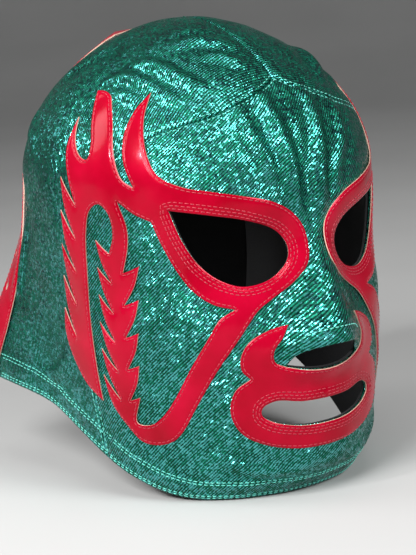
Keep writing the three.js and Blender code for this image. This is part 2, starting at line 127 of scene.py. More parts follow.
def surface(deg, up):
    """Points of the shared surface."""
    angle = np.radians(deg)
    rise = np.sin(np.pi / 2 * np.clip((up - EQUATOR) / CROWN_ARC, 0, 1))
    height = np.where(up > EQUATOR, EQUATOR + (CROWN - EQUATOR) * rise, up)
    scale = np.maximum(1e-6, 1 - rise**DOME_POWER) ** (1 / DOME_POWER)
    facing, aside = np.cos(angle), np.abs(np.sin(angle))
    in_front = facing > 0
    half = through(STATIONS, height, 1) * scale
    depth = np.where(in_front, through(STATIONS, height, 2), through(STATIONS, height, 3)) * scale
    low = ease((NAPE_TOP - height) / NAPE_REACH)
    power = np.where(in_front, SIDE_POWER, BACK_POWER + (NAPE_POWER - BACK_POWER) * low)
    plain = ((aside / half) ** power + (np.abs(facing) / depth) ** power) ** (-1 / power)
    behind = np.degrees(np.arccos(np.clip(facing, -1, 1)))
    flare = FLARE * ease((FLARE_TOP - height) / FLARE_DROP) * ease((behind - FLARE_START) / FLARE_REACH)
    x = plain * aside

    def swell(out, level, tall, across, wide):
        return out * bump(height, level, tall) * bump(x, across, wide)

    nose = through(NOSE, height, 1) * bump(x, 0, through(NOSE, height, 2))
    face = facing * facing * (nose + sum(swell(*feature) for feature in FEATURES))
    face = face + swell(*CHEEK_BONE) * ease(facing * 4)
    radius = plain + flare + np.where(in_front, face, 0)
    return np.stack([radius * np.sin(angle), -radius * facing, height], -1)


def chart(deg, up):
    """The flat chart that pieces are cut in: the pole is its middle, and it keeps angles."""
    deg, up = np.asarray(deg, float), np.asarray(up, float)
    dome = np.tan(np.pi / 4 * np.clip((POLE - up) / CROWN_ARC, 0, 1))
    rho = np.where(up > EQUATOR, dome, np.exp((EQUATOR - np.minimum(up, EQUATOR)) / CHART_RADIUS))
    angle = np.radians(deg)
    return np.stack([rho * np.sin(angle), -rho * np.cos(angle)], -1)


def unchart(q):
    """(deg, up) of points of the chart."""
    rho = np.maximum(np.hypot(q[..., 0], q[..., 1]), 1e-9)
    dome = POLE - CROWN_ARC * np.arctan(np.minimum(rho, 1)) * 4 / np.pi
    low = EQUATOR - CHART_RADIUS * np.log(np.maximum(rho, 1))
    return np.degrees(np.arctan2(q[..., 0], -q[..., 1])), np.where(rho < 1, dome, low)


def place(q):
    return surface(*unchart(q))


def slopes(q):
    """How a point of the surface moves for a step in the chart's x, and in its y."""
    step = 2e-4 * (0.05 + np.hypot(q[..., 0], q[..., 1]))[..., None]
    over, along = step * (1, 0), step * (0, 1)
    dx = (place(q + over) - place(q - over)) / (2 * step)
    dy = (place(q + along) - place(q - along)) / (2 * step)
    return dx, dy


def normals(q):
    dx, dy = slopes(q)
    n = np.cross(dx, dy)
    return n / np.linalg.norm(n, axis=-1, keepdims=True)


def inset(q, distance, closed=True):
    """A line of the chart moved to its left by a distance along the surface."""
    ahead = np.roll(q, -1, 0) - np.roll(q, 1, 0) if closed else np.gradient(q, axis=0)
    dx, dy = slopes(q)
    xx, xy, yy = (dx * dx).sum(-1), (dx * dy).sum(-1), (dy * dy).sum(-1)
    left_x, left_y = -ahead[:, 1], ahead[:, 0]
    move = np.stack([yy * left_x - xy * left_y, xx * left_y - xy * left_x], -1)
    length = np.linalg.norm(move[:, :1] * dx + move[:, 1:] * dy, axis=-1, keepdims=True)
    return q + distance * move / np.maximum(length, 1e-12)


# ------------ outlines

MM_PER_DEG = 1.4  # round the head, near eye level
CORNER_STEPS = 24


def stroke(points, spacing):
    """Points along a smooth curve through (deg, up) points, without the last one."""
    p = np.array(points, float) * (MM_PER_DEG, 1)
    p = np.vstack([2 * p[0] - p[1], p, 2 * p[-1] - p[-2]])
    t = np.linspace(0, 1, CORNER_STEPS, endpoint=False)[:, None]
    dense = []
    for before, a, b, after in zip(p, p[1:], p[2:], p[3:]):
        d0, d1, d2 = (max(np.linalg.norm(v) ** 0.5, 1e-4) for v in (a - before, b - a, after - b))
        start = ((a - before) / d0 - (b - before) / (d0 + d1)) * d1 + b - a
        end = b - a + (-(after - a) / (d1 + d2) + (after - b) / d2) * d1
        dense.append(a + start * t + (3 * (b - a) - 2 * start - end) * t**2
                     + (2 * (a - b) + start + end) * t**3)
    dense = np.vstack([*dense, p[-2:-1]])
    return evenly(dense, way_along(dense), spacing)[:-1] / (MM_PER_DEG, 1)


def open_line(points, spacing):
    """Points along a smooth curve through (deg, up) points, with the last one."""
    return stroke([*points, points[-1]], spacing)


def way_along(line):
    """How far along a line each of its points is."""
    return np.concatenate([[0], np.cumsum(np.linalg.norm(np.diff(line, axis=0), axis=1))])


def along(points, way, stops):
    """The places on a line at these stops of its way."""
    return np.stack([np.interp(stops, way, column) for column in points.T], -1)


def evenly(points, way, spacing):
    """Points set out evenly along a line."""
    return along(points, way, np.linspace(0, way[-1], max(1, round(way[-1] / spacing)) + 1))


def outline(strokes, spacing):
    return np.vstack([stroke(s, spacing) for s in strokes])


def mirrored(points):
    return [(-deg, up) for deg, up in reversed(points)]


def both_ways(points):
    return [*points, *mirrored(points)[1:]]


def neck(deg):
    """Height of the neck edge."""
    return NECK_FRONT + NECK_RISE * ease((np.abs(deg) - NECK_START) / NECK_REACH)


EYE = [[(43, 17), (32, 14.5), (21, 11), (12.5, 5.5), (8.7, -2), (9, -9), (14, -16.5), (22, -19),
        (29, -15.5), (35, -8), (39.5, 3), (43, 17)]]
MOUTH = [both_ways([(0, -73), (8, -72.6), (15.5, -71), (19.3, -73.5), (19.6, -77), (16.5, -80.5),
                    (9, -83.6), (0, -84.4)])]
TRIM_TOP = [(0, -59), (6.5, -58), (12.5, -55.6)]
NOSTRIL_TOP = [(12.5, -55.6), (10, -50.5), (5, -46.8), (0, -45.6)]
NOSTRILS = [[*mirrored(TRIM_TOP), *TRIM_TOP[1:]], both_ways(NOSTRIL_TOP)]
LOBE = [(0, -95), (9.5, -94.3), (18.5, -91), (25, -85.5), (28, -78), (28.3, -71), (26.5, -64.5),
        (22.3, -60)]
HORN = [(22.3, -60), (24.6, -56), (24.8, -50), (22.3, -43.5), (17, -39), (11.5, -36.5)]
HORN_INSIDE = [(11.5, -36.5), (13.2, -42), (15.6, -48), (15.4, -53), (12.5, -55.6)]
MOUTH_TRIM = [LOBE, HORN, HORN_INSIDE, [*mirrored(TRIM_TOP), *TRIM_TOP[1:]][::-1],
              mirrored(HORN_INSIDE), mirrored(HORN), mirrored(LOBE)]


def tongues(count, notch, notch_step, tip, tip_step, bulge):
    """A row of flame tongues down an edge: each one rises from its notch to its tip."""
    strokes = []
    for i in range(count):
        start = np.add(notch, np.multiply(notch_step, i))
        end = np.add(tip, np.multiply(tip_step, i))
        below = start + notch_step
        strokes.append([start, start * (0.55, 0.6) + end * (0.45, 0.4), end])
        if i < count - 1:
            strokes.append([end, (end + below) / 2 + (bulge, 0), below])
    return strokes


def upward(strokes):
    """The same strokes, drawn the other way."""
    return [s[::-1] for s in reversed(strokes)]


REAR = tongues(5, (77.5, 18), (1.7, -15.6), (84.5, 31), (1.5, -15.6), 1.6)
INNER = tongues(6, (64.3, -3), (0.1, -13.6), (69.6, 3), (0.4, -12.6), 1)
CHEEK = tongues(5, (59.6, -11.5), (0.3, -14.8), (53.6, -8), (0.8, -15.2), -1)
EYE_TRIM = [
    [(49.5, 73), (50.8, 60), (49.3, 44), (45.5, 32.5), (38.5, 27), (31.5, 24.8), (22.5, 22),
     (13.5, 18.3), (7.6, 13), (4, 6), (3, -2), (4, -10.5), (8.5, -19), (14.5, -25.3), (19, -30),
     (25, -41.5), (31, -54), (38, -71.5), (43.3, -84.5), (47, -89), (52.5, -91), (58, -89.8),
     (63, -83.5), (68, -75.5), (69.8, -70), INNER[-1][-1]],
    *upward(INNER),
    [(64.3, -3), (62.2, 6), (63.3, 15), (66.8, 19.5), (71, 16.5), (73.7, 6), (75, -12), (75.4, -34),
     (74.8, -55), (73.5, -73)],
    [(73.5, -73), (81.5, -66), (88, -54), (91.3, -42), REAR[-1][-1]],
    *upward(REAR),
    [(77.5, 18), (80.5, 32), (82.5, 46), (80.5, 60.5)],
    [(80.5, 60.5), (79, 50), (75.5, 42), (71.5, 40), (70.5, 47), (72.6, 58), (76, 74.5)],
    [(76, 74.5), (71, 74), (67.2, 71.5), (65.3, 67), (62.8, 58), (60.5, 42), (57.5, 31), (53.5, 27)],
    [(53.5, 27), (57, 40), (57.3, 53), (54.5, 64), (49.5, 73)],
]
CHEEK_WINDOW = [
    [(59.5, 21), (54, 15.5), (48.5, 12)],
    [(48.5, 12), (45.5, 1), (41.5, -10.5), (37, -19.5), (31.5, -25.5), (25.5, -28.3)],
    [(25.5, -28.3), (30, -32), (33.5, -40), (39, -53.5), (44.5, -68), (49.5, -77.5), (54, -81.6),
     (59, -81), CHEEK[-1][-1]],
    *upward(CHEEK),
    [(59.6, -11.5), (57.2, 0), (56.8, 9), (59.5, 21)],
]
# the seam between the face panel and a side panel, from the crown to the neck edge
SEAM = [(0, 77.5), (7.5, 71.9), (18.5, 65.4), (28, 60), (38.5, 56), (48, 51.5), (59, 43), (70, 27),
        (78, 5), (81, -28), (79, -68), (77, -102.5)]
SEAM_FOOT = 77.0
CROWN_SEAM = 95.0  # mm, its length
EDGE_START = 0.5  # mm above the neck edge, where the edges of the open back start
# the eyelet strips beside the open back: height, degrees from the front of the free edge
OPENING_TOP = 111.0
FREE_EDGE = np.array([(-80, 139), (-47, 135), (-16, 136), (20, 147), (50, 158), (75, 165),
                      (OPENING_TOP, 172)])
STRIP_WIDTH, STRIP_LAP = 20.0, 8.0
LAP_SEARCH, LAP_STEPS = 75, 400  # degrees from the free edge, and steps, in which a lap is looked for
PANEL_FOOT, STRIP_FOOT, LAP_FOOT = 130, 139, 127  # degrees, where the edges meet the neck edge
HOLE_PITCH, HOLE_RADIUS, HOLE_POINTS = 16.0, 2.0, 20
HOLE_ROWS = [(-62, -10), (36, 101)]  # from and to, below and above the fold
# the tongue behind the opening: height, degrees from the front of its edge
TONGUE_EDGE = np.array([(-75, 126), (-60, 124), (-20, 122), (20, 126), (60, 137), (95, 148), (116, 153)])
TONGUE_FOOT = [(128, -79), (134, -84), (144, -87), (160, -88), (180, -88)]
TONGUE_TOP, TONGUE_LOW = 116.0, -72.0
TONGUE_FACES = (-7.5, -6.5)
TONGUE_LEAN, LEAN_TOP, LEAN_START, LEAN_REACH = 0.24, 60.0, 100.0, 45.0


def free_edge(up):
    """Degrees from the front of the strip's edge at the open back."""
    return through(FREE_EDGE, np.asarray(up, float), 1)


def lap_edge(up, width):
    """Degrees from the front of a line that keeps a distance from the strip's free edge."""
    found = []
    for level in np.atleast_1d(up):
        deg = free_edge(level) - np.linspace(0, LAP_SEARCH, LAP_STEPS)
        line = surface(deg, np.full(LAP_STEPS, level))
        found.append(np.interp(width, way_along(line), deg))
    return np.array(found)


def edge_line(low, high, edge, spacing):
    """Points up an edge that is given as degrees at each height."""
    up = np.linspace(low, high, max(2, round(abs(high - low) / spacing)))
    return np.stack([edge(up), up], -1)


def neck_edge(start, end, spacing):
    deg = np.linspace(start, end, max(2, round(abs(end - start) * MM_PER_DEG / spacing)))
    return np.stack([deg, neck(deg)], -1)


def face_outline(spacing):
    seam = stroke(SEAM, spacing)
    half = np.vstack([seam, neck_edge(SEAM_FOOT, 0, spacing)])
    return np.vstack([half, (half * (-1, 1))[::-1][1:-1]])


def over_crown(count):
    """Points along the crown seam, from the open back over the pole to the face seam."""
    crown = np.linspace(-POLE + OPENING_TOP, POLE - SEAM[0][1], count)
    return np.stack([np.where(crown < 0, 180.0, 0.0), POLE - np.abs(crown)], -1)


def side_outline(spacing):
    """The whole side of the hood, with its back flap, from the face seam to the open back."""
    back = edge_line(neck(STRIP_FOOT) + EDGE_START, OPENING_TOP,
                     lambda up: lap_edge(up, STRIP_WIDTH - STRIP_LAP), spacing)
    return np.vstack([stroke(SEAM, spacing), neck_edge(SEAM_FOOT, PANEL_FOOT, spacing), back,
                      [(180, OPENING_TOP)], over_crown(round(CROWN_SEAM / spacing))[1:-1]])


def strip_outline(spacing):
    free = edge_line(neck(STRIP_FOOT) + EDGE_START, OPENING_TOP, free_edge, spacing)
    lap = edge_line(OPENING_TOP, neck(LAP_FOOT) + EDGE_START, lambda up: lap_edge(up, STRIP_WIDTH), spacing)
    return np.vstack([free, lap])


def lace_holes():
    """Round holes up the middle of the free part of a strip."""
    rings = []
    turn = np.linspace(0, 2 * np.pi, HOLE_POINTS, endpoint=False)
    for low, high in HOLE_ROWS:
        for up in np.arange(low, high + 1, HOLE_PITCH):
            deg = lap_edge(up, (STRIP_WIDTH - STRIP_LAP) / 2)[0]
            centre = surface(np.array(deg), np.array(up))
            per_deg = np.linalg.norm(surface(np.array(deg + 1), np.array(up)) - centre)
            per_up = np.linalg.norm(surface(np.array(deg), np.array(up + 1)) - centre)
            ring = (np.cos(turn) / per_deg, np.sin(turn) / per_up)
            rings.append(np.stack(ring, -1) * HOLE_RADIUS + (deg, up))
    return rings


def tongue_outline(spacing):
    edge = edge_line(TONGUE_TOP, TONGUE_LOW, lambda up: through(TONGUE_EDGE, up, 1), spacing)
    half = np.vstack([edge[:-1], stroke([edge[-1], *TONGUE_FOOT], spacing), TONGUE_FOOT[-1:]])
    return np.vstack([half * (-1, 1), half[::-1][1:]])


def tongue_lean(deg, up):
    """How much nearer the Z axis the tongue hangs than the surface."""
    return TONGUE_LEAN * np.maximum(0, LEAN_TOP - up) * ease((np.abs(deg) - LEAN_START) / LEAN_REACH)


# ------------ cutting a layer


def area(q):
    """The area of a loop, which is negative when the loop is drawn clockwise."""
    ahead = np.roll(q, -1, 0)
    return 0.5 * (q[:, 0] * ahead[:, 1] - q[:, 1] * ahead[:, 0]).sum()


def wound(q, left):
    """The loop, drawn so that its inside lies to its left, or else to its right."""
    return q if (area(q) > 0) == left else q[::-1]


def inside(q, loops):
    """Whether points of the chart lie inside an outline and outside its openings."""
    within = np.zeros(len(q), bool)
    for loop in loops:
        for (ax, ay), (bx, by) in zip(loop, np.roll(loop, -1, 0)):
            crosses = (ay > q[:, 1]) != (by > q[:, 1])
            if ay != by:
                within ^= crosses & (q[:, 0] < ax + (q[:, 1] - ay) * (bx - ax) / (by - ay))
    return within


def tree_of(points):
    """A search tree for the nearest of some points."""
    tree = KDTree(len(points))
    for i, p in enumerate(points):
        tree.insert(p, i)
    tree.balance()
    return tree


class Nearest:
    """Distances from points to lines of the surface, in mm."""

    def __init__(self, lines, closed=True, spacing=0.25):
        points = []
        for q in lines:
            line = np.vstack([q, q[:1]]) if closed else q
            points.append(place(evenly(line, way_along(place(line)), spacing)))
        self.tree = tree_of(np.vstack(points))

    def distance(self, points):
        return np.array([self.tree.find(p)[2] for p in points])


BY_THE_POLE = np.array([[0.0, 1e-6]])
RING_DEGREES = np.arange(0, 360, 5.0)  # at which a level line is measured
ROW_PITCH = 0.866  # of a grid of even triangles, as a share of their sides
INSET_SHARE, ROW_SHARE = 0.93, 0.94  # of its distance that a point of an inset line or a row has to keep


class Cut:
    """A flat cut of the surface: an outline and openings, filled with well-shaped triangles.

    rings are distances from the edges where the triangles get a line of points of their own, and
    lean(deg, up) is how much nearer the Z axis than the surface the piece hangs.
    """

    def __init__(self, loops, spacing, rings=(), lean=None):
        self.loops = [wound(q, i == 0) for i, q in enumerate(loops)]
        self.edge = Nearest(self.loops)
        inner = [self.kept(inset(q, d), d) for q in self.loops for d in rings]
        reach = max(rings, default=0) + 0.6 * spacing
        fill = self.grid(spacing)
        fill = fill[self.edge.distance(place(fill)) > reach]
        self.triangulate(np.vstack([*self.loops, *inner, fill]))
        self.surface = place(self.q)
        self.normal = normals(self.q)
        self.deg, self.up = unchart(self.q)
        self.rim = self.edge.distance(self.surface)
        if lean is not None:
            away = self.surface * (1, 1, 0)
            away /= np.linalg.norm(away, axis=1, keepdims=True)
            self.surface = self.surface - away * lean(self.deg, self.up)[:, None]

    def kept(self, q, distance):
        """The points of an inset line that are still that far from every edge."""
        q = q[self.edge.distance(place(q)) > INSET_SHARE * distance]
        return q[inside(q, self.loops)]

    def grid(self, spacing):
        """Points inside the piece in level rows, as far apart along a row as the rows allow."""
        _, up = unchart(self.loops[0])
        rows = []
        low, high = up.min(), up.max()
        if inside(BY_THE_POLE, self.loops)[0] or high > POLE - 1:
            high = POLE
        for i, level in enumerate(np.arange(low, high, spacing * ROW_PITCH)):
            ring = surface(RING_DEGREES, np.full(len(RING_DEGREES), level))
            length = np.linalg.norm(np.roll(ring, -1, 0) - ring, axis=1).sum()
            step = 360 * spacing / max(length, spacing)
            degs = np.arange(-180, 180, step) + (i % 2) * step / 2
            rows.append(chart(degs, np.full(len(degs), level)))
        q = np.vstack(rows)
        lowest, highest = self.loops[0].min(0), self.loops[0].max(0)
        q = q[((q > lowest) & (q < highest)).all(1)]
        return q[inside(q, self.loops)]

    def triangulate(self, points):
        """Fills the piece with triangles whose edges keep to its loops. Points keep their own place."""
        edges, start = [], 0
        for q in self.loops:
            n = len(q)
            edges += [(start + i, start + (i + 1) % n) for i in range(n)]
            start += n
        verts, _, faces, origin = delaunay_2d_cdt([Vector(p) for p in points], edges, [], 0, 1e-7)[:4]
        q = np.array([tuple(v) for v in verts])
        for i, ids in enumerate(origin):
            if ids:
                q[i] = points[ids[0]]
        faces = np.array([tuple(f) for f in faces])
        a, b, c = q[faces[:, 0]], q[faces[:, 1]], q[faces[:, 2]]
        faces = faces[inside((a + b + c) / 3, self.loops)]
        used = np.unique(faces)
        renumber = np.full(len(q), -1)
        renumber[used] = np.arange(len(used))
        self.q, self.faces = q[used], renumber[faces]

    def walls(self):
        """Edges that only one triangle has, in the direction that the triangle has them."""
        f = self.faces
        pairs = np.vstack([f[:, [0, 1]], f[:, [1, 2]], f[:, [2, 0]]])
        n = len(self.q)
        there, back = pairs[:, 0] * n + pairs[:, 1], pairs[:, 1] * n + pairs[:, 0]
        return pairs[~np.isin(there, back)]


SHARP = np.radians(50)


def solid(name, cut, low, high, materials, uv, edge_width=None):
    """A closed thin piece between two offsets from the surface.

    The second material is for its walls, and for the outer face nearer the edge than edge_width.
    A third one is for the inner face.
    """
    n = len(cut.q)
    inner = cut.surface + cut.normal * np.broadcast_to(low, n)[:, None]
    outer = cut.surface + cut.normal * np.broadcast_to(high, n)[:, None]
    walls = cut.walls()
    a, b = walls[:, 0], walls[:, 1]
    sides = np.vstack([np.stack([a, b, b + n], -1), np.stack([a, b + n, a + n], -1)])
    faces = np.vstack([cut.faces + n, cut.faces[:, ::-1], sides])
    co = np.vstack([inner, outer]) * MM
    obj = mesh_object(name, co, faces, materials)
    rim = np.concatenate([np.full(n, np.inf), cut.rim])
    slots = np.zeros(len(faces), np.int32)
    if edge_width is not None:
        slots = (rim[faces].max(1) < edge_width).astype(np.int32)
        slots[-len(sides):] = 1
    if len(materials) > 2:
        slots[len(cut.faces):2 * len(cut.faces)] = 2
    obj.data.polygons.foreach_set("material_index", slots)
    corners = np.tile(uv, (2, 1))[faces.ravel()]
    layer = obj.data.uv_layers.new(name="weave")
    layer.data.foreach_set("uv", corners.astype(np.float32).ravel())
    obj.data.set_sharp_from_angle(angle=SHARP)
    return obj


def mesh_object(name, co, faces, materials):
    mesh = bpy.data.meshes.new(name)
    mesh.vertices.add(len(co))
    mesh.vertices.foreach_set("co", np.asarray(co, np.float32).ravel())
    mesh.loops.add(faces.size)
    mesh.loops.foreach_set("vertex_index", faces.astype(np.int32).ravel())
    mesh.polygons.add(len(faces))
    mesh.polygons.foreach_set("loop_start", np.arange(0, faces.size, faces.shape[1], dtype=np.int32))
    mesh.update(calc_edges=True)
    mesh.validate()
    mesh.shade_smooth()
    for m in materials:
        mesh.materials.append(m)
    obj = bpy.data.objects.new(name, mesh)
    bpy.context.scene.collection.objects.link(obj)
    return obj


# ------------ how the stretched cloth lies

# folds of the cloth: points (deg, up), height, half width. The first ones are on both sides.
PAIRED_FOLDS = [
    ([(92, -58), (101, -66), (112, -70)], 0.9, 5.0),
    ([(121, 6), (123, -12), (124, -32)], 1.0, 4.5),
    ([(128, 58), (120, 50), (110, 46)], 0.8, 4.5),
    ([(97, 100), (110, 92), (122, 80)], 0.9, 5.0),
]
FOLDS = [
    *PAIRED_FOLDS,
    *(([(-deg, up) for deg, up in points], height, width) for points, height, width in PAIRED_FOLDS),
    ([(-62, 89), (-54, 90), (-46, 86), (-38, 80.5), (-31, 74)], 1.5, 4.5),
    ([(-74, 80), (-64, 82), (-54, 79), (-46, 74), (-40, 68)], 1.5, 4.0),
    ([(-68, 74), (-61, 72.5), (-55, 68)], 1.1, 3.2),
    ([(-78, 70), (-74, 73), (-68, 76)], 0.9, 3.2),
    ([(-84, 71), (-80, 64), (-79, 57)], 1.1, 3.5),
    ([(-28, 94), (-18, 92), (-9, 86)], 1.0, 4.0),
    ([(-40, 104), (-24, 106), (-8, 101)], 1.1, 5.0),
    ([(58, 90), (48, 88), (38, 82), (30, 75)], 1.4, 4.5),
    ([(72, 81), (62, 82), (52, 77), (43, 69)], 1.4, 4.0),
    ([(82, 70), (79, 63), (78, 55)], 1.0, 3.5),
    ([(-9, 70), (-7.5, 52), (-6, 34), (-5.5, 16), (-5, 4)], 1.5, 4.5),
    ([(10, 68), (8, 52), (5, 34), (3.5, 18), (3, 6)], 1.4, 4.5),
    ([(-20, 64), (-17, 50), (-13, 36), (-9.5, 24)], 0.9, 4.0),
    ([(22, 62), (19, 48), (14, 35), (10, 25)], 0.9, 4.0),
    ([(-5, -4), (-5.5, -14), (-8, -26), (-12, -34)], 0.7, 3.5),
    ([(4, -4), (5, -14), (8, -26), (12, -34)], 0.7, 3.5),
    ([(-34, -96), (-22, -103), (-9, -106)], 0.8, 4.0),
    ([(36, -95), (24, -103), (12, -105)], 0.8, 4.0),
]
FOLD_GAIN = 1.7
SUNK, HOLLOW = 0.35, 0.45  # how far cloth may sink below the surface, and the dips beside a fold
SWELLS, SWELL_HEIGHT = 14, 0.26  # long shallow waves all over
STILL = 0.22  # share of the folds that reaches the trims and the cloth under them
CALM_REACH = 9.0  # over which the folds grow again beyond a trim

rng = np.random.default_rng(7)
swell_way = rng.normal(size=(SWELLS, 3))
swell_way /= np.linalg.norm(swell_way, axis=1, keepdims=True)
swell_way *= 2 * np.pi / rng.uniform(17, 48, SWELLS)[:, None]
swell_phase = rng.uniform(0, 2 * np.pi, SWELLS)


def charted(points, side=1):
    """Points (deg, up) of the wearer's left, or mirrored to the right, in the chart."""
    return chart(*(np.asarray(points, float) * (side, 1)).T)


coarse_trims = [charted(outline(EYE_TRIM, 4), side) for side in SIDES.values()]
coarse_trims.append(charted(outline(MOUTH_TRIM, 4)))
trim_edges = Nearest([wound(q, True) for q in coarse_trims], spacing=1.0)


def folds_at(cut):
    """How far the stretched cloth stands off the plain surface, in mm."""
    p = cut.surface
    lift = np.zeros(len(p))
    for points, height, width in FOLDS:
        line = place(charted(open_line(points, 1.0)))
        t = np.linspace(0, 1, len(line))
        fade = np.sqrt(np.clip(np.sin(np.pi * (0.04 + 0.92 * t)), 0, 1))
        near = (np.abs(p - line.mean(0)) < np.ptp(line, axis=0) / 2 + 3 * width + 20).all(1)
        if not near.any():
            continue
        apart = np.linalg.norm(p[near][:, None] - line[None], axis=2)
        closest = apart.argmin(1)
        d = apart[np.arange(len(apart)), closest] / width
        crest = np.exp(-((d - 0.05) ** 2) * 1.6) - HOLLOW * np.exp(-(((d - 1.35) / 0.45) ** 2))
        lift[near] += FOLD_GAIN * height * fade[closest] * crest
    over_trim = np.zeros(len(p), bool)
    for q in coarse_trims:
        over_trim |= inside(cut.q, [q])
    beyond = ease(trim_edges.distance(p) / CALM_REACH)
    lift *= np.where(over_trim, STILL, STILL + (1 - STILL) * beyond)
    swell = SWELL_HEIGHT * np.sin(p @ swell_way.T + swell_phase).sum(1) / np.sqrt(SWELLS / 2)
    return np.maximum(lift + swell, -SUNK) * ease(cut.rim / 2 + 0.15)


# ------------ materials


def feed(tree, socket, value):
    """Sets a socket to a value, or links an output to it."""
    if isinstance(value, bpy.types.NodeSocket):
        tree.links.new(value, socket)
    else:
        socket.default_value = value


def node(tree, kind, *values, **named):
    """A new node. Values feed its inputs in order, and named ones are its properties and inputs."""
    made = tree.nodes.new(f"ShaderNode{kind}")
    for key, value in named.items():
        if key in made.bl_rna.properties:
            setattr(made, key, value)
        else:
            feed(tree, made.inputs[key], value)
    for socket, value in zip(made.inputs, values):
        feed(tree, socket, value)
    return made


def maths(tree, operation, *values):
    return node(tree, "Math", *values, operation=operation).outputs[0]


def vector_maths(tree, operation, *values):
    return node(tree, "VectorMath", *values, operation=operation).outputs[0]


def ramp(tree, source, stops):
    """A colour between stops, chosen by an output from 0 to 1."""
    made = node(tree, "ValToRGB", source)
    while len(made.color_ramp.elements) < len(stops):
        made.color_ramp.elements.new(0.5)
    for element, (at, colour) in zip(made.color_ramp.elements, stops):
        element.position = at
        element.color = (*colour, 1)
    return made.outputs["Color"]


def material(name):
    m = bpy.data.materials.new(name)
    m.use_nodes = True
    return m, m.node_tree


def finish_surface(tree, **inputs):
    """Feeds the material's surface shader."""
    shader = tree.nodes["Principled BSDF"]
    for key, value in inputs.items():
        feed(tree, shader.inputs[key.replace("_", " ")], value)


RIB_PITCH = 1.15  # mm between the ribs of the knit
RIB_SHADE, RIB_RISE = 0.38, 0.12  # painted shade: how much darker in colour the grooves are, and their depth in mm
FLAKE = 1.2  # mm between the foil stitches of a rib
FLAKE_TILT, DRAPE_TILT = 0.46, 0.34  # how far a stitch leans, and a patch of stitches together
# yarn and foil tones: the dark ends are partly painted shade in the grooves between the ribs, partly random
# tone
YARN_DARK, YARN_LIGHT = (0.0008, 0.020, 0.012), (0.012, 0.225, 0.145)
FOIL_DARK, FOIL_LIGHT = (0.004, 0.120, 0.085), (0.120, 0.560, 0.560)
FOIL_LEVEL = 0.22  # a lower level shows more foil
VINYL_REDS = [(0.3, (0.27, 0.0004, 0.009)), (0.55, (0.36, 0.0008, 0.016)), (0.75, (0.45, 0.0014, 0.025))]


def rib_wave(tree, weave):
    """A wave across the ribs, from -1 in a groove to 1 on a rib."""
    across = node(tree, "SeparateXYZ", weave).outputs["X"]
    return maths(tree, "SINE", maths(tree, "MULTIPLY", across, 2 * np.pi / RIB_PITCH))


def stitch_cells(tree, weave):
    """One cell for each foil stitch, with a colour of its own."""
    cells = vector_maths(tree, "MULTIPLY", weave, (1 / RIB_PITCH, 1 / FLAKE, 1))
    return node(tree, "TexVoronoi", voronoi_dimensions="2D", Vector=cells, Scale=1, Randomness=0.9)


def lame_colour(tree, rib, flakes, patches):
    """The colour of the knit, with painted shade in its grooves, and whether a point of it is foil."""
    chance = node(tree, "SeparateColor", flakes.outputs["Color"])
    uneven = maths(tree, "MULTIPLY", maths(tree, "SUBTRACT", patches.outputs[0], 0.5), 0.5)
    # painted shade: the grooves between the ribs are darker in colour, on top of random patches of tone
    shade = maths(tree, "ADD", maths(tree, "MULTIPLY", rib, RIB_SHADE), uneven)
    shade = maths(tree, "ADD", shade, 0.5)
    yarn = ramp(tree, shade, [(0.1, YARN_DARK), (0.95, YARN_LIGHT)])
    # the foil tint takes most of the painted groove shade, and a random tone of each stitch
    foil_tone_and_groove_shade = maths(tree, "ADD", maths(tree, "MULTIPLY", shade, 0.7),
                  maths(tree, "MULTIPLY", chance.outputs[1], 0.3))
    foil = ramp(tree, foil_tone_and_groove_shade, [(0.2, FOIL_DARK), (0.8, FOIL_LIGHT)])
    likely = maths(tree, "SUBTRACT", chance.outputs[0],
                   maths(tree, "MULTIPLY", flakes.outputs["Distance"], 0.9))
    likely = maths(tree, "ADD", likely, maths(tree, "MULTIPLY", rib, 0.16))
    is_foil = maths(tree, "GREATER_THAN", likely, FOIL_LEVEL)
    colour = node(tree, "Mix", data_type="RGBA", Factor=is_foil)
    feed(tree, colour.inputs[6], yarn)
    feed(tree, colour.inputs[7], foil)
    return colour.outputs[2], is_foil


def leaning(tree, normal, random_colour, tilt):
    """A normal that leans by a random vector of this size."""
    by = vector_maths(tree, "MULTIPLY_ADD", random_colour, (tilt,) * 3, (-tilt / 2,) * 3)
    return vector_maths(tree, "ADD", normal, by)


def lame_normal(tree, rib, flakes, patches):
    """Ribs in relief, where each stitch and each patch of stitches faces a little its own way."""
    relief = node(tree, "Bump", Strength=0.6, Distance=RIB_RISE * MM, Height=rib).outputs[0]
    tilted = leaning(tree, relief, flakes.outputs["Color"], FLAKE_TILT)
    draped = leaning(tree, tilted, patches.outputs["Color"], DRAPE_TILT)
    return vector_maths(tree, "NORMALIZE", draped)


def lame_material(name, rib_angle):
    """Knit of green yarn, with foil stitches that glint and ribs turned by an angle."""
    m, tree = material(name)
    uv = node(tree, "UVMap", uv_map="weave").outputs[0]
    weave = node(tree, "Mapping", Vector=uv, Rotation=(0, 0, np.radians(rib_angle))).outputs[0]
    patches = node(tree, "TexNoise", noise_dimensions="2D", Vector=uv, Scale=0.07, Detail=3)
    rib, flakes = rib_wave(tree, weave), stitch_cells(tree, weave)
    colour, is_foil = lame_colour(tree, rib, flakes, patches)
    finish_surface(
        tree, Base_Color=colour, Normal=lame_normal(tree, rib, flakes, patches), Specular_IOR_Level=0.2,
        Roughness=maths(tree, "MULTIPLY_ADD", maths(tree, "SUBTRACT", 1, is_foil), 0.3, 0.2),
        Metallic=maths(tree, "MULTIPLY_ADD", is_foil, 0.2, 0.8))
    return m


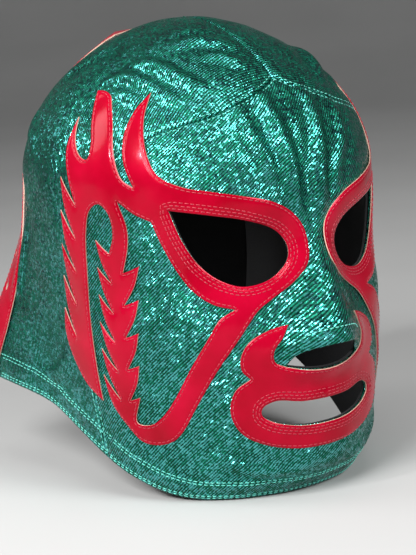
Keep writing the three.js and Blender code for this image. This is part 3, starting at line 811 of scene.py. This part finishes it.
def vinyl_material():
    """Wet-look vinyl: saturated red, nearly smooth, with faint pressed grain and haze."""
    m, tree = material("red_vinyl_gloss")
    at = node(tree, "NewGeometry").outputs["Position"]
    cloud, grain, ripple = (node(tree, "TexNoise", Vector=at, Scale=scale, Detail=detail).outputs[0]
                            for scale, detail in ((38, 4), (1400, 2), (130, 2)))
    height = maths(tree, "ADD", maths(tree, "MULTIPLY", grain, 0.12), ripple)
    relief = node(tree, "Bump", Strength=0.5, Distance=0.25 * MM, Height=height).outputs[0]
    finish_surface(
        tree, Base_Color=ramp(tree, cloud, VINYL_REDS), Normal=relief,
        Roughness=maths(tree, "MULTIPLY_ADD", cloud, 0.16, 0.1), Specular_IOR_Level=0.32,
        Specular_Tint=(1, 0.2, 0.26, 1), Coat_Weight=0.07, Coat_Roughness=0.08)
    return m


def plain_material(name, low, high, scale, roughness, sheen=0.0):
    """A matt surface whose colour varies between two tones at one scale, with the same relief."""
    m, tree = material(name)
    at = node(tree, "NewGeometry").outputs["Position"]
    mottle = node(tree, "TexNoise", Vector=at, Scale=scale, Detail=3).outputs[0]
    relief = node(tree, "Bump", Strength=0.6, Distance=0.1 * MM, Height=mottle).outputs[0]
    finish_surface(tree, Base_Color=ramp(tree, mottle, [(0.3, low), (0.7, high)]), Normal=relief,
                   Roughness=roughness, Sheen_Weight=sheen)
    return m


face_lame = lame_material("lame_face", 45)
side_lame = lame_material("lame_sides", 0)
vinyl = vinyl_material()
cut_edge = plain_material("vinyl_cut_edge", (0.56, 0.32, 0.24), (0.76, 0.50, 0.40), 900, 0.55)
lining = plain_material("lining_knit", (0.004, 0.004, 0.005), (0.012, 0.012, 0.014), 1500, 0.9, 0.1)
red_thread = plain_material("red_thread", (0.30, 0.005, 0.02), (0.52, 0.03, 0.06), 2500, 0.38, 0.1)
green_thread = plain_material("green_thread", (0.06, 0.50, 0.40), (0.22, 0.85, 0.72), 2500, 0.32, 0.2)

# ------------ stitches

STITCH_SIDES = 6
STITCH_LENGTH, STITCH_RADIUS = 1.9, 0.2
# a stitch from end to end: how far along, how high in radii, how thick in radii
STITCH_ARCH = [(0.0, -0.9, 0.6), (0.14, 0.1, 1.0), (0.5, 0.45, 1.0), (0.86, 0.1, 1.0), (1.0, -0.9, 0.6)]


def tube_faces(rings, sides):
    """Triangles of a tube through rings of points, open at both ends."""
    faces = []
    for start in range(0, (rings - 1) * sides, sides):
        for k in range(sides):
            a, b = start + k, start + (k + 1) % sides
            faces += [(a, a + sides, b), (b, a + sides, b + sides)]
    return faces


def stitch_faces():
    """Triangles of one stitch: a tube that is closed at both ends."""
    faces = tube_faces(len(STITCH_ARCH), STITCH_SIDES)
    last = (len(STITCH_ARCH) - 1) * STITCH_SIDES
    for k in range(1, STITCH_SIDES - 1):
        faces += [(0, k, k + 1), (last, last + k + 1, last + k)]
    return np.array(faces)


def stitch_rows(name, lines, top, thread, pitch):
    """Thread showing along lines of the chart. top gives the height of the piece at each point."""
    starts, ends = [], []
    for q in lines:
        if len(q) < 3:
            continue
        way = way_along(place(q))
        middles = np.arange(pitch / 2, way[-1] - pitch / 2 + 1e-6, pitch)
        starts.append(along(q, way, middles - 0.5 * STITCH_LENGTH))
        ends.append(along(q, way, middles + 0.5 * STITCH_LENGTH))
    starts, ends = np.vstack(starts), np.vstack(ends)
    ahead = place(ends) - place(starts)
    ahead /= np.linalg.norm(ahead, axis=1, keepdims=True)
    co = []
    for t, rise, thick in STITCH_ARCH:
        q = starts + (ends - starts) * t
        up = normals(q)
        centre = place(q) + up * (top(q) + rise * STITCH_RADIUS)[:, None]
        side = np.cross(ahead, up)
        for k in range(STITCH_SIDES):
            turn = 2 * np.pi * k / STITCH_SIDES
            co.append(centre + STITCH_RADIUS * thick * (np.cos(turn) * side + np.sin(turn) * up))
    co = np.stack(co, 1)
    faces = stitch_faces()[None] + (np.arange(len(co)) * co.shape[1])[:, None, None]
    return mesh_object(name, co.reshape(-1, 3) * MM, faces.reshape(-1, 3), [thread])


def runs(q, keep):
    """The unbroken stretches of a closed line whose points are kept."""
    if keep.all():
        return [np.vstack([q, q[:1]])]
    first = int(np.argmin(keep))
    q, keep = np.roll(q, -first, 0), np.roll(keep, -first)
    breaks = np.flatnonzero(np.diff(np.concatenate([[0], keep.astype(int), [0]])))
    return [q[a:b] for a, b in breaks.reshape(-1, 2)]


def rows_inside(cut, distances_by_loop):
    """Stitch lines at distances inside each loop of a cut, broken where the piece is too narrow."""
    lines = []
    for q, distances in zip(cut.loops, distances_by_loop):
        for d in distances:
            line = inset(q, d)
            keep = (cut.edge.distance(place(line)) > ROW_SHARE * d) & inside(line, cut.loops)
            lines += runs(line, keep)
    return lines


class Cloth:
    """Heights of a finished piece, to be read at any point of the chart."""

    def __init__(self, cut, height):
        self.tree = tree_of(cut.surface)
        self.height = np.asarray(height)

    def __call__(self, q):
        return np.array([self.height[[i for _, i, _ in self.tree.find_n(p, 3)]].mean() for p in place(q)])


# ------------ pieces

# steps along outlines and rows, and sizes of triangles
PANEL_STEP, LINING_STEP, TONGUE_STEP, TRIM_STEP, OPENING_STEP, ROW_STEP = 1.6, 4.0, 2.5, 0.9, 1.2, 1.5
ROW_START = 0.6  # degrees from a seam, where a hem row starts
PANEL_SPACING, TRIM_SPACING, LINING_SPACING = 1.7, 1.7, 4.0
PANEL_RINGS, VINYL_RINGS, TONGUE_RINGS = (0.35, 0.9), (0.2, 0.45, 0.8, 1.2, 1.6, 2.0, 2.6), (1.0,)
PANEL_INNER, LINING_FACES = -0.75, (-2.2, -1.4)
PANEL_EDGE, PANEL_ROUND, PANEL_LEAST = 0.4, 0.35, 0.25  # drop at the edge, its reach, least thickness
INNER_CALM = 6.0  # from the edge, over which the inner face takes up the folds
SEAM_DEPTH, SEAM_REACH = 0.4, 0.9
HEM_WIDTH, HEM_RISE, HEM_STEP, HEM_PINCH, PINCH_REACH = 12.0, 0.45, 0.9, 0.2, 0.6
HEM_PINCHES = (HEM_WIDTH - 1.3, 1.9)  # from the neck edge, under the rows of stitches
VINYL_BASE, VINYL_RISE = 0.1, 0.95
VINYL_ROUND = 0.45  # drop at the edge, and its reach
EDGE_WIDTH = 0.1  # of the pale cut edge that shows from the front
STITCH_IN = 1.2  # from a vinyl edge to its row of stitches
ROW_DEPTH, ROW_REACH = 0.2, 0.5  # of the groove that a row pulls into the vinyl
OPENING_ROWS = (1.2, 2.6, 4.0)
HEM_ROWS = (1.6, 3.0, 10.4, 11.8)
SEAM_ROWS = (1.3,)
VINYL_PITCH, KNIT_PITCH = 2.5, 2.6  # from stitch to stitch
NOSE_HEM = [(-11.5, -45.5), (-6.5, -40), (0, -38), (6.5, -40), (11.5, -45.5)]
GRAIN_RADIUS, CROWN_RADIUS = 130.0, 80.0  # of the round of the head that the ribs of a side follow
STRIP_BASE, STRIP_FOLDS = 0.5, 0.5  # how high a strip stands, and its share of the folds
# the arch at a strip's top end: height, start below the top, reach up, reach from the lap
ARCH_RISE, ARCH_START, ARCH_REACH, ARCH_ACROSS = 1.8, 24.0, 16.0, 9.0


def face_uv(cut):
    return np.stack([cut.deg * MM_PER_DEG, cut.up], -1)


def side_uv(cut):
    """Ribs run from the neck edge up over the head to the crown seam."""
    x, y, z = cut.surface.T
    around = GRAIN_RADIUS * np.arcsin(np.clip(y / GRAIN_RADIUS, -1, 1))
    over = np.where(z > EQUATOR, EQUATOR + CROWN_RADIUS * np.arctan2(z - EQUATOR, np.abs(x)), z)
    return np.stack([around, over], -1)


def seam_groove(p):
    """How deep the cloth dips at its seams."""
    return SEAM_DEPTH * bump(seams.distance(p), 0, SEAM_REACH)


def hem_shape(p):
    """A folded and stitched hem stands a little above the single cloth."""
    d = hem.distance(p)
    pinch = HEM_PINCH * sum(bump(d, at, PINCH_REACH) for at in HEM_PINCHES)
    return HEM_RISE * ease((HEM_WIDTH - d) / HEM_STEP) - pinch


def panel(name, loops, lame, uv_of, nodes_replaced):
    """A panel of lame with its folds, hem and seams. Its inner face is black."""
    cut = Cut(loops, PANEL_SPACING, rings=PANEL_RINGS)
    lift = folds_at(cut)
    top = lift + hem_shape(cut.surface) - seam_groove(cut.surface)
    top -= PANEL_EDGE * bump(cut.rim, 0, PANEL_ROUND)
    low = np.minimum(lift * ease(cut.rim / INNER_CALM) + PANEL_INNER, top - PANEL_LEAST)
    obj = solid(name, cut, low, top, [lame, lame, lining], uv_of(cut))
    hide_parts(*nodes_replaced)
    return obj, Cloth(cut, top)


def dark_layer(name, cut, faces, uv, nodes_replaced):
    """A plain layer of black knit: a lining or the tongue."""
    obj = solid(name, cut, *faces, [lining], uv)
    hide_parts(*nodes_replaced)
    return obj


def lining_layer(name, loops, nodes_replaced):
    cut = Cut(loops, LINING_SPACING)
    return dark_layer(name, cut, LINING_FACES, face_uv(cut), nodes_replaced)


def vinyl_layer(name, loops, nodes_replaced, lift_of, rows_in):
    """A piece of vinyl with rounded edges, and its stitches in rows_in each loop of the piece."""
    cut = Cut(loops, TRIM_SPACING, rings=VINYL_RINGS)
    lift = lift_of(cut)
    crowned = VINYL_RISE - VINYL_ROUND * bump(cut.rim, 0, VINYL_ROUND)
    groove = ROW_DEPTH * bump(cut.rim, STITCH_IN, ROW_REACH)
    top = VINYL_BASE + lift + crowned - groove
    obj = solid(name, cut, VINYL_BASE + lift, top, [vinyl, cut_edge], face_uv(cut), EDGE_WIDTH)
    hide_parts(*nodes_replaced)
    rows = rows_inside(cut, rows_in)
    thread = stitch_rows(f"{name}_stitches", rows, Cloth(cut, top), red_thread, VINYL_PITCH)
    return obj, thread


seam_lines = {name: charted(open_line(SEAM, ROW_STEP), side) for name, side in SIDES.items()}
crown_line = charted(over_crown(60))
seams = Nearest([*seam_lines.values(), crown_line], closed=False)
hem = Nearest([charted(neck_edge(-STRIP_FOOT, STRIP_FOOT, ROW_STEP))], closed=False)


def beside(q, distances):
    """Lines that keep these distances to the left of an open line of the chart."""
    return [inset(q, d, closed=False) for d in distances]


def green_rows(name, lines, top):
    """The hem and seam stitches of a panel."""
    thread = stitch_rows(name, lines, top, green_thread, KNIT_PITCH)
    return thread


openings = [charted(outline(EYE, OPENING_STEP), side) for side in SIDES.values()]
openings += [charted(outline(shape, OPENING_STEP)) for shape in (MOUTH, NOSTRILS)]

face, face_top = panel("face_panel_cloth", [charted(face_outline(PANEL_STEP)), *openings], face_lame,
                       face_uv, ["face_panel"])
face_foot = SEAM_FOOT - ROW_START
face_rows = beside(charted(neck_edge(-face_foot, face_foot, ROW_STEP)), HEM_ROWS)
for name, side in SIDES.items():
    face_rows += beside(seam_lines[name], [-side * d for d in SEAM_ROWS])
face_rows.append(charted(open_line(NOSE_HEM, ROW_STEP)))
face_stitches = green_rows("face_panel_stitches", face_rows, face_top)
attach(face_stitches, "hood")
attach(face, "hood")
face_inside = lining_layer("face_lining_cloth", [charted(face_outline(LINING_STEP)), *openings],
                           ["face_lining"])
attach(face_inside, "hood")

mouth_loops = [charted(outline(shape, TRIM_STEP)) for shape in (MOUTH_TRIM, MOUTH)]
mouth_pieces = vinyl_layer("mouth_trim_vinyl", mouth_loops, ["mouth_trim"], folds_at,
                           [(STITCH_IN,), OPENING_ROWS])
for piece in mouth_pieces:
    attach(piece, "hood")


def fold_blend(obj):
    """Bakes the piece's placement into its mesh."""
    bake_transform(obj)


for name, side in SIDES.items():
    loops = [charted(side_outline(PANEL_STEP), side)]
    cloth, side_top = panel(f"{name}_side_cloth", loops, side_lame, side_uv,
                            [f"{name}_side_panel", f"{name}_back_flap"])
    inner = lining_layer(f"{name}_side_lining_cloth", [charted(side_outline(LINING_STEP), side)],
                         [f"{name}_side_lining", f"{name}_flap_lining"])
    foot = charted(neck_edge(SEAM_FOOT + ROW_START, PANEL_FOOT - 1, ROW_STEP), side)
    crown = crown_line if side < 0 else crown_line[::-1]
    rows = beside(foot, [side * d for d in HEM_ROWS])
    rows += beside(seam_lines[name], [side * d for d in SEAM_ROWS])
    rows += beside(crown, SEAM_ROWS)
    stitches = green_rows(f"{name}_side_stitches", rows, side_top)
    for piece in (cloth, inner, stitches):
        fold_blend(piece)

    loops = [charted(outline(shape, TRIM_STEP), side) for shape in (EYE_TRIM, EYE, CHEEK_WINDOW)]
    for piece in vinyl_layer(f"{name}_eye_trim_vinyl", loops, [f"{name}_eye_trim"], folds_at,
                             [(STITCH_IN,), OPENING_ROWS, (STITCH_IN,)]):
        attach(piece, "hood")

    front = edge_line(neck(LAP_FOOT), OPENING_TOP, lambda up: lap_edge(up, STRIP_WIDTH), 2)
    front = Nearest([charted(front, side)], closed=False)

    def strip_lift(cut, front=front):
        """The strip stands on the cloth at its lap, and its top end arches over the head."""
        arch = ARCH_RISE * ease((cut.up - OPENING_TOP + ARCH_START) / ARCH_REACH)
        arch *= ease(front.distance(cut.surface) / ARCH_ACROSS)
        return STRIP_BASE + folds_at(cut) * STRIP_FOLDS + arch

    loops = [charted(q, side) for q in (strip_outline(TRIM_STEP), *lace_holes())]
    strip, thread = vinyl_layer(
        f"{name}_eyelet_strip", loops, [f"{name}_eyelet_strip_lower", f"{name}_eyelet_strip_upper"],
        strip_lift, [(STITCH_IN,)] + [()] * (len(loops) - 1))
    fold_blend(strip)
    fold_blend(thread)


def tongue_piece():
    """One layer of dark knit, sewn in at its top only."""
    cut = Cut([charted(tongue_outline(TONGUE_STEP))], LINING_SPACING, rings=TONGUE_RINGS, lean=tongue_lean)
    obj = dark_layer("back_tongue_cloth", cut, TONGUE_FACES, side_uv(cut), ["back_tongue"])
    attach(obj, "tongue")


tongue_piece()

# ------------ camera, light and stage


def view_axes(azimuth, elevation, roll):
    """The ways back to the viewer, right and up, of a viewer who looks at the head."""
    a, e, r = np.radians((azimuth, elevation, roll))
    back = np.array((np.sin(a) * np.cos(e), -np.cos(a) * np.cos(e), np.sin(e)))
    right = np.array((np.cos(a), np.sin(a), 0))
    up = np.cross(back, right)
    return back, right * np.cos(r) + up * np.sin(r), up * np.cos(r) - right * np.sin(r)


def look(obj, at, target, right=None):
    """Points an object's -Z at a target."""
    back = (Vector(at) - Vector(target)).normalized()
    side = Vector(right) if right is not None else Vector((0, 0, 1)).cross(back)
    up = back.cross(side).normalized()
    side = up.cross(back)
    obj.matrix_world = Matrix((
        (side.x, up.x, back.x, at[0]), (side.y, up.y, back.y, at[1]), (side.z, up.z, back.z, at[2]),
        (0, 0, 0, 1)))


AZIMUTH, ELEVATION, ROLL, DISTANCE, LENS = -35.0, 8.5, -3.4, 809.0, 107.4
AIM_RIGHT, AIM_DOWN = 5.7, 28.7  # mm from the middle of the head to the middle of the picture

back, right, up = view_axes(AZIMUTH, ELEVATION, ROLL)
camera = bpy.data.objects.new("camera", bpy.data.cameras.new("camera"))
camera.data.lens = LENS
camera.data.clip_end = 50
bpy.context.scene.collection.objects.link(camera)
look(camera, back * DISTANCE * MM, (right * AIM_RIGHT - up * AIM_DOWN) * MM, right)
bpy.context.scene.camera = camera

LIGHT_AIM = (0, 0, -0.02)


def softbox(name, azimuth, elevation, distance, size, power):
    """A round white light: where it stands in degrees and metres, its diameter and its watts."""
    light = bpy.data.lights.new(name, "AREA")
    light.shape = "DISK"
    light.size = size
    light.energy = power
    obj = bpy.data.objects.new(name, light)
    bpy.context.scene.collection.objects.link(obj)
    at, _, _ = view_axes(azimuth, elevation, 0)
    look(obj, at * distance, LIGHT_AIM)


softbox("key", -64, 34, 1.1, 0.5, 14.5)
softbox("front", 16, 36, 1.3, 0.55, 12.5)
softbox("side", -125, 34, 1.4, 0.6, 5)
softbox("spark", -84, 30, 1.0, 0.05, 3.2)
softbox("top", -20, 80, 1.8, 1.1, 10)


FLOOR_GAP = 0.0005  # metres below the hood
# radius and height of the stage's rings, in metres
STAGE_RINGS = [(1.2, 0.0), (2.0, 0.0), (2.6, 0.12), (3.0, 0.5), (3.2, 1.2), (3.3, 4.0)]
STAGE_SIDES = 64
PAPER_LOW, PAPER_HIGH = (0.42, 0.42, 0.415), (0.46, 0.46, 0.455)


def pale_stage():
    """A pale floor that curves up into a wall on every side."""
    floor = cad_box[0].z - FLOOR_GAP
    turn = np.linspace(0, 2 * np.pi, STAGE_SIDES, endpoint=False)
    co = [(r * np.cos(t), r * np.sin(t), z + floor) for r, z in STAGE_RINGS for t in turn]
    faces = [(i, (i + 1) % STAGE_SIDES, len(co)) for i in range(STAGE_SIDES)]
    faces += tube_faces(len(STAGE_RINGS), STAGE_SIDES)
    co.append((0, 0, floor))
    paper = plain_material("stage_paper", PAPER_LOW, PAPER_HIGH, 3, 0.9)
    mesh_object("pale_stage", np.array(co), np.array(faces), [paper])


pale_stage()
world = bpy.data.worlds.new("studio")
world.use_nodes = True
sky = world.node_tree.nodes["Background"]
sky.inputs["Color"].default_value = (0.80, 0.82, 0.85, 1)
sky.inputs["Strength"].default_value = 0.15
bpy.context.scene.world = world
bpy.context.scene.view_settings.view_transform = "Standard"
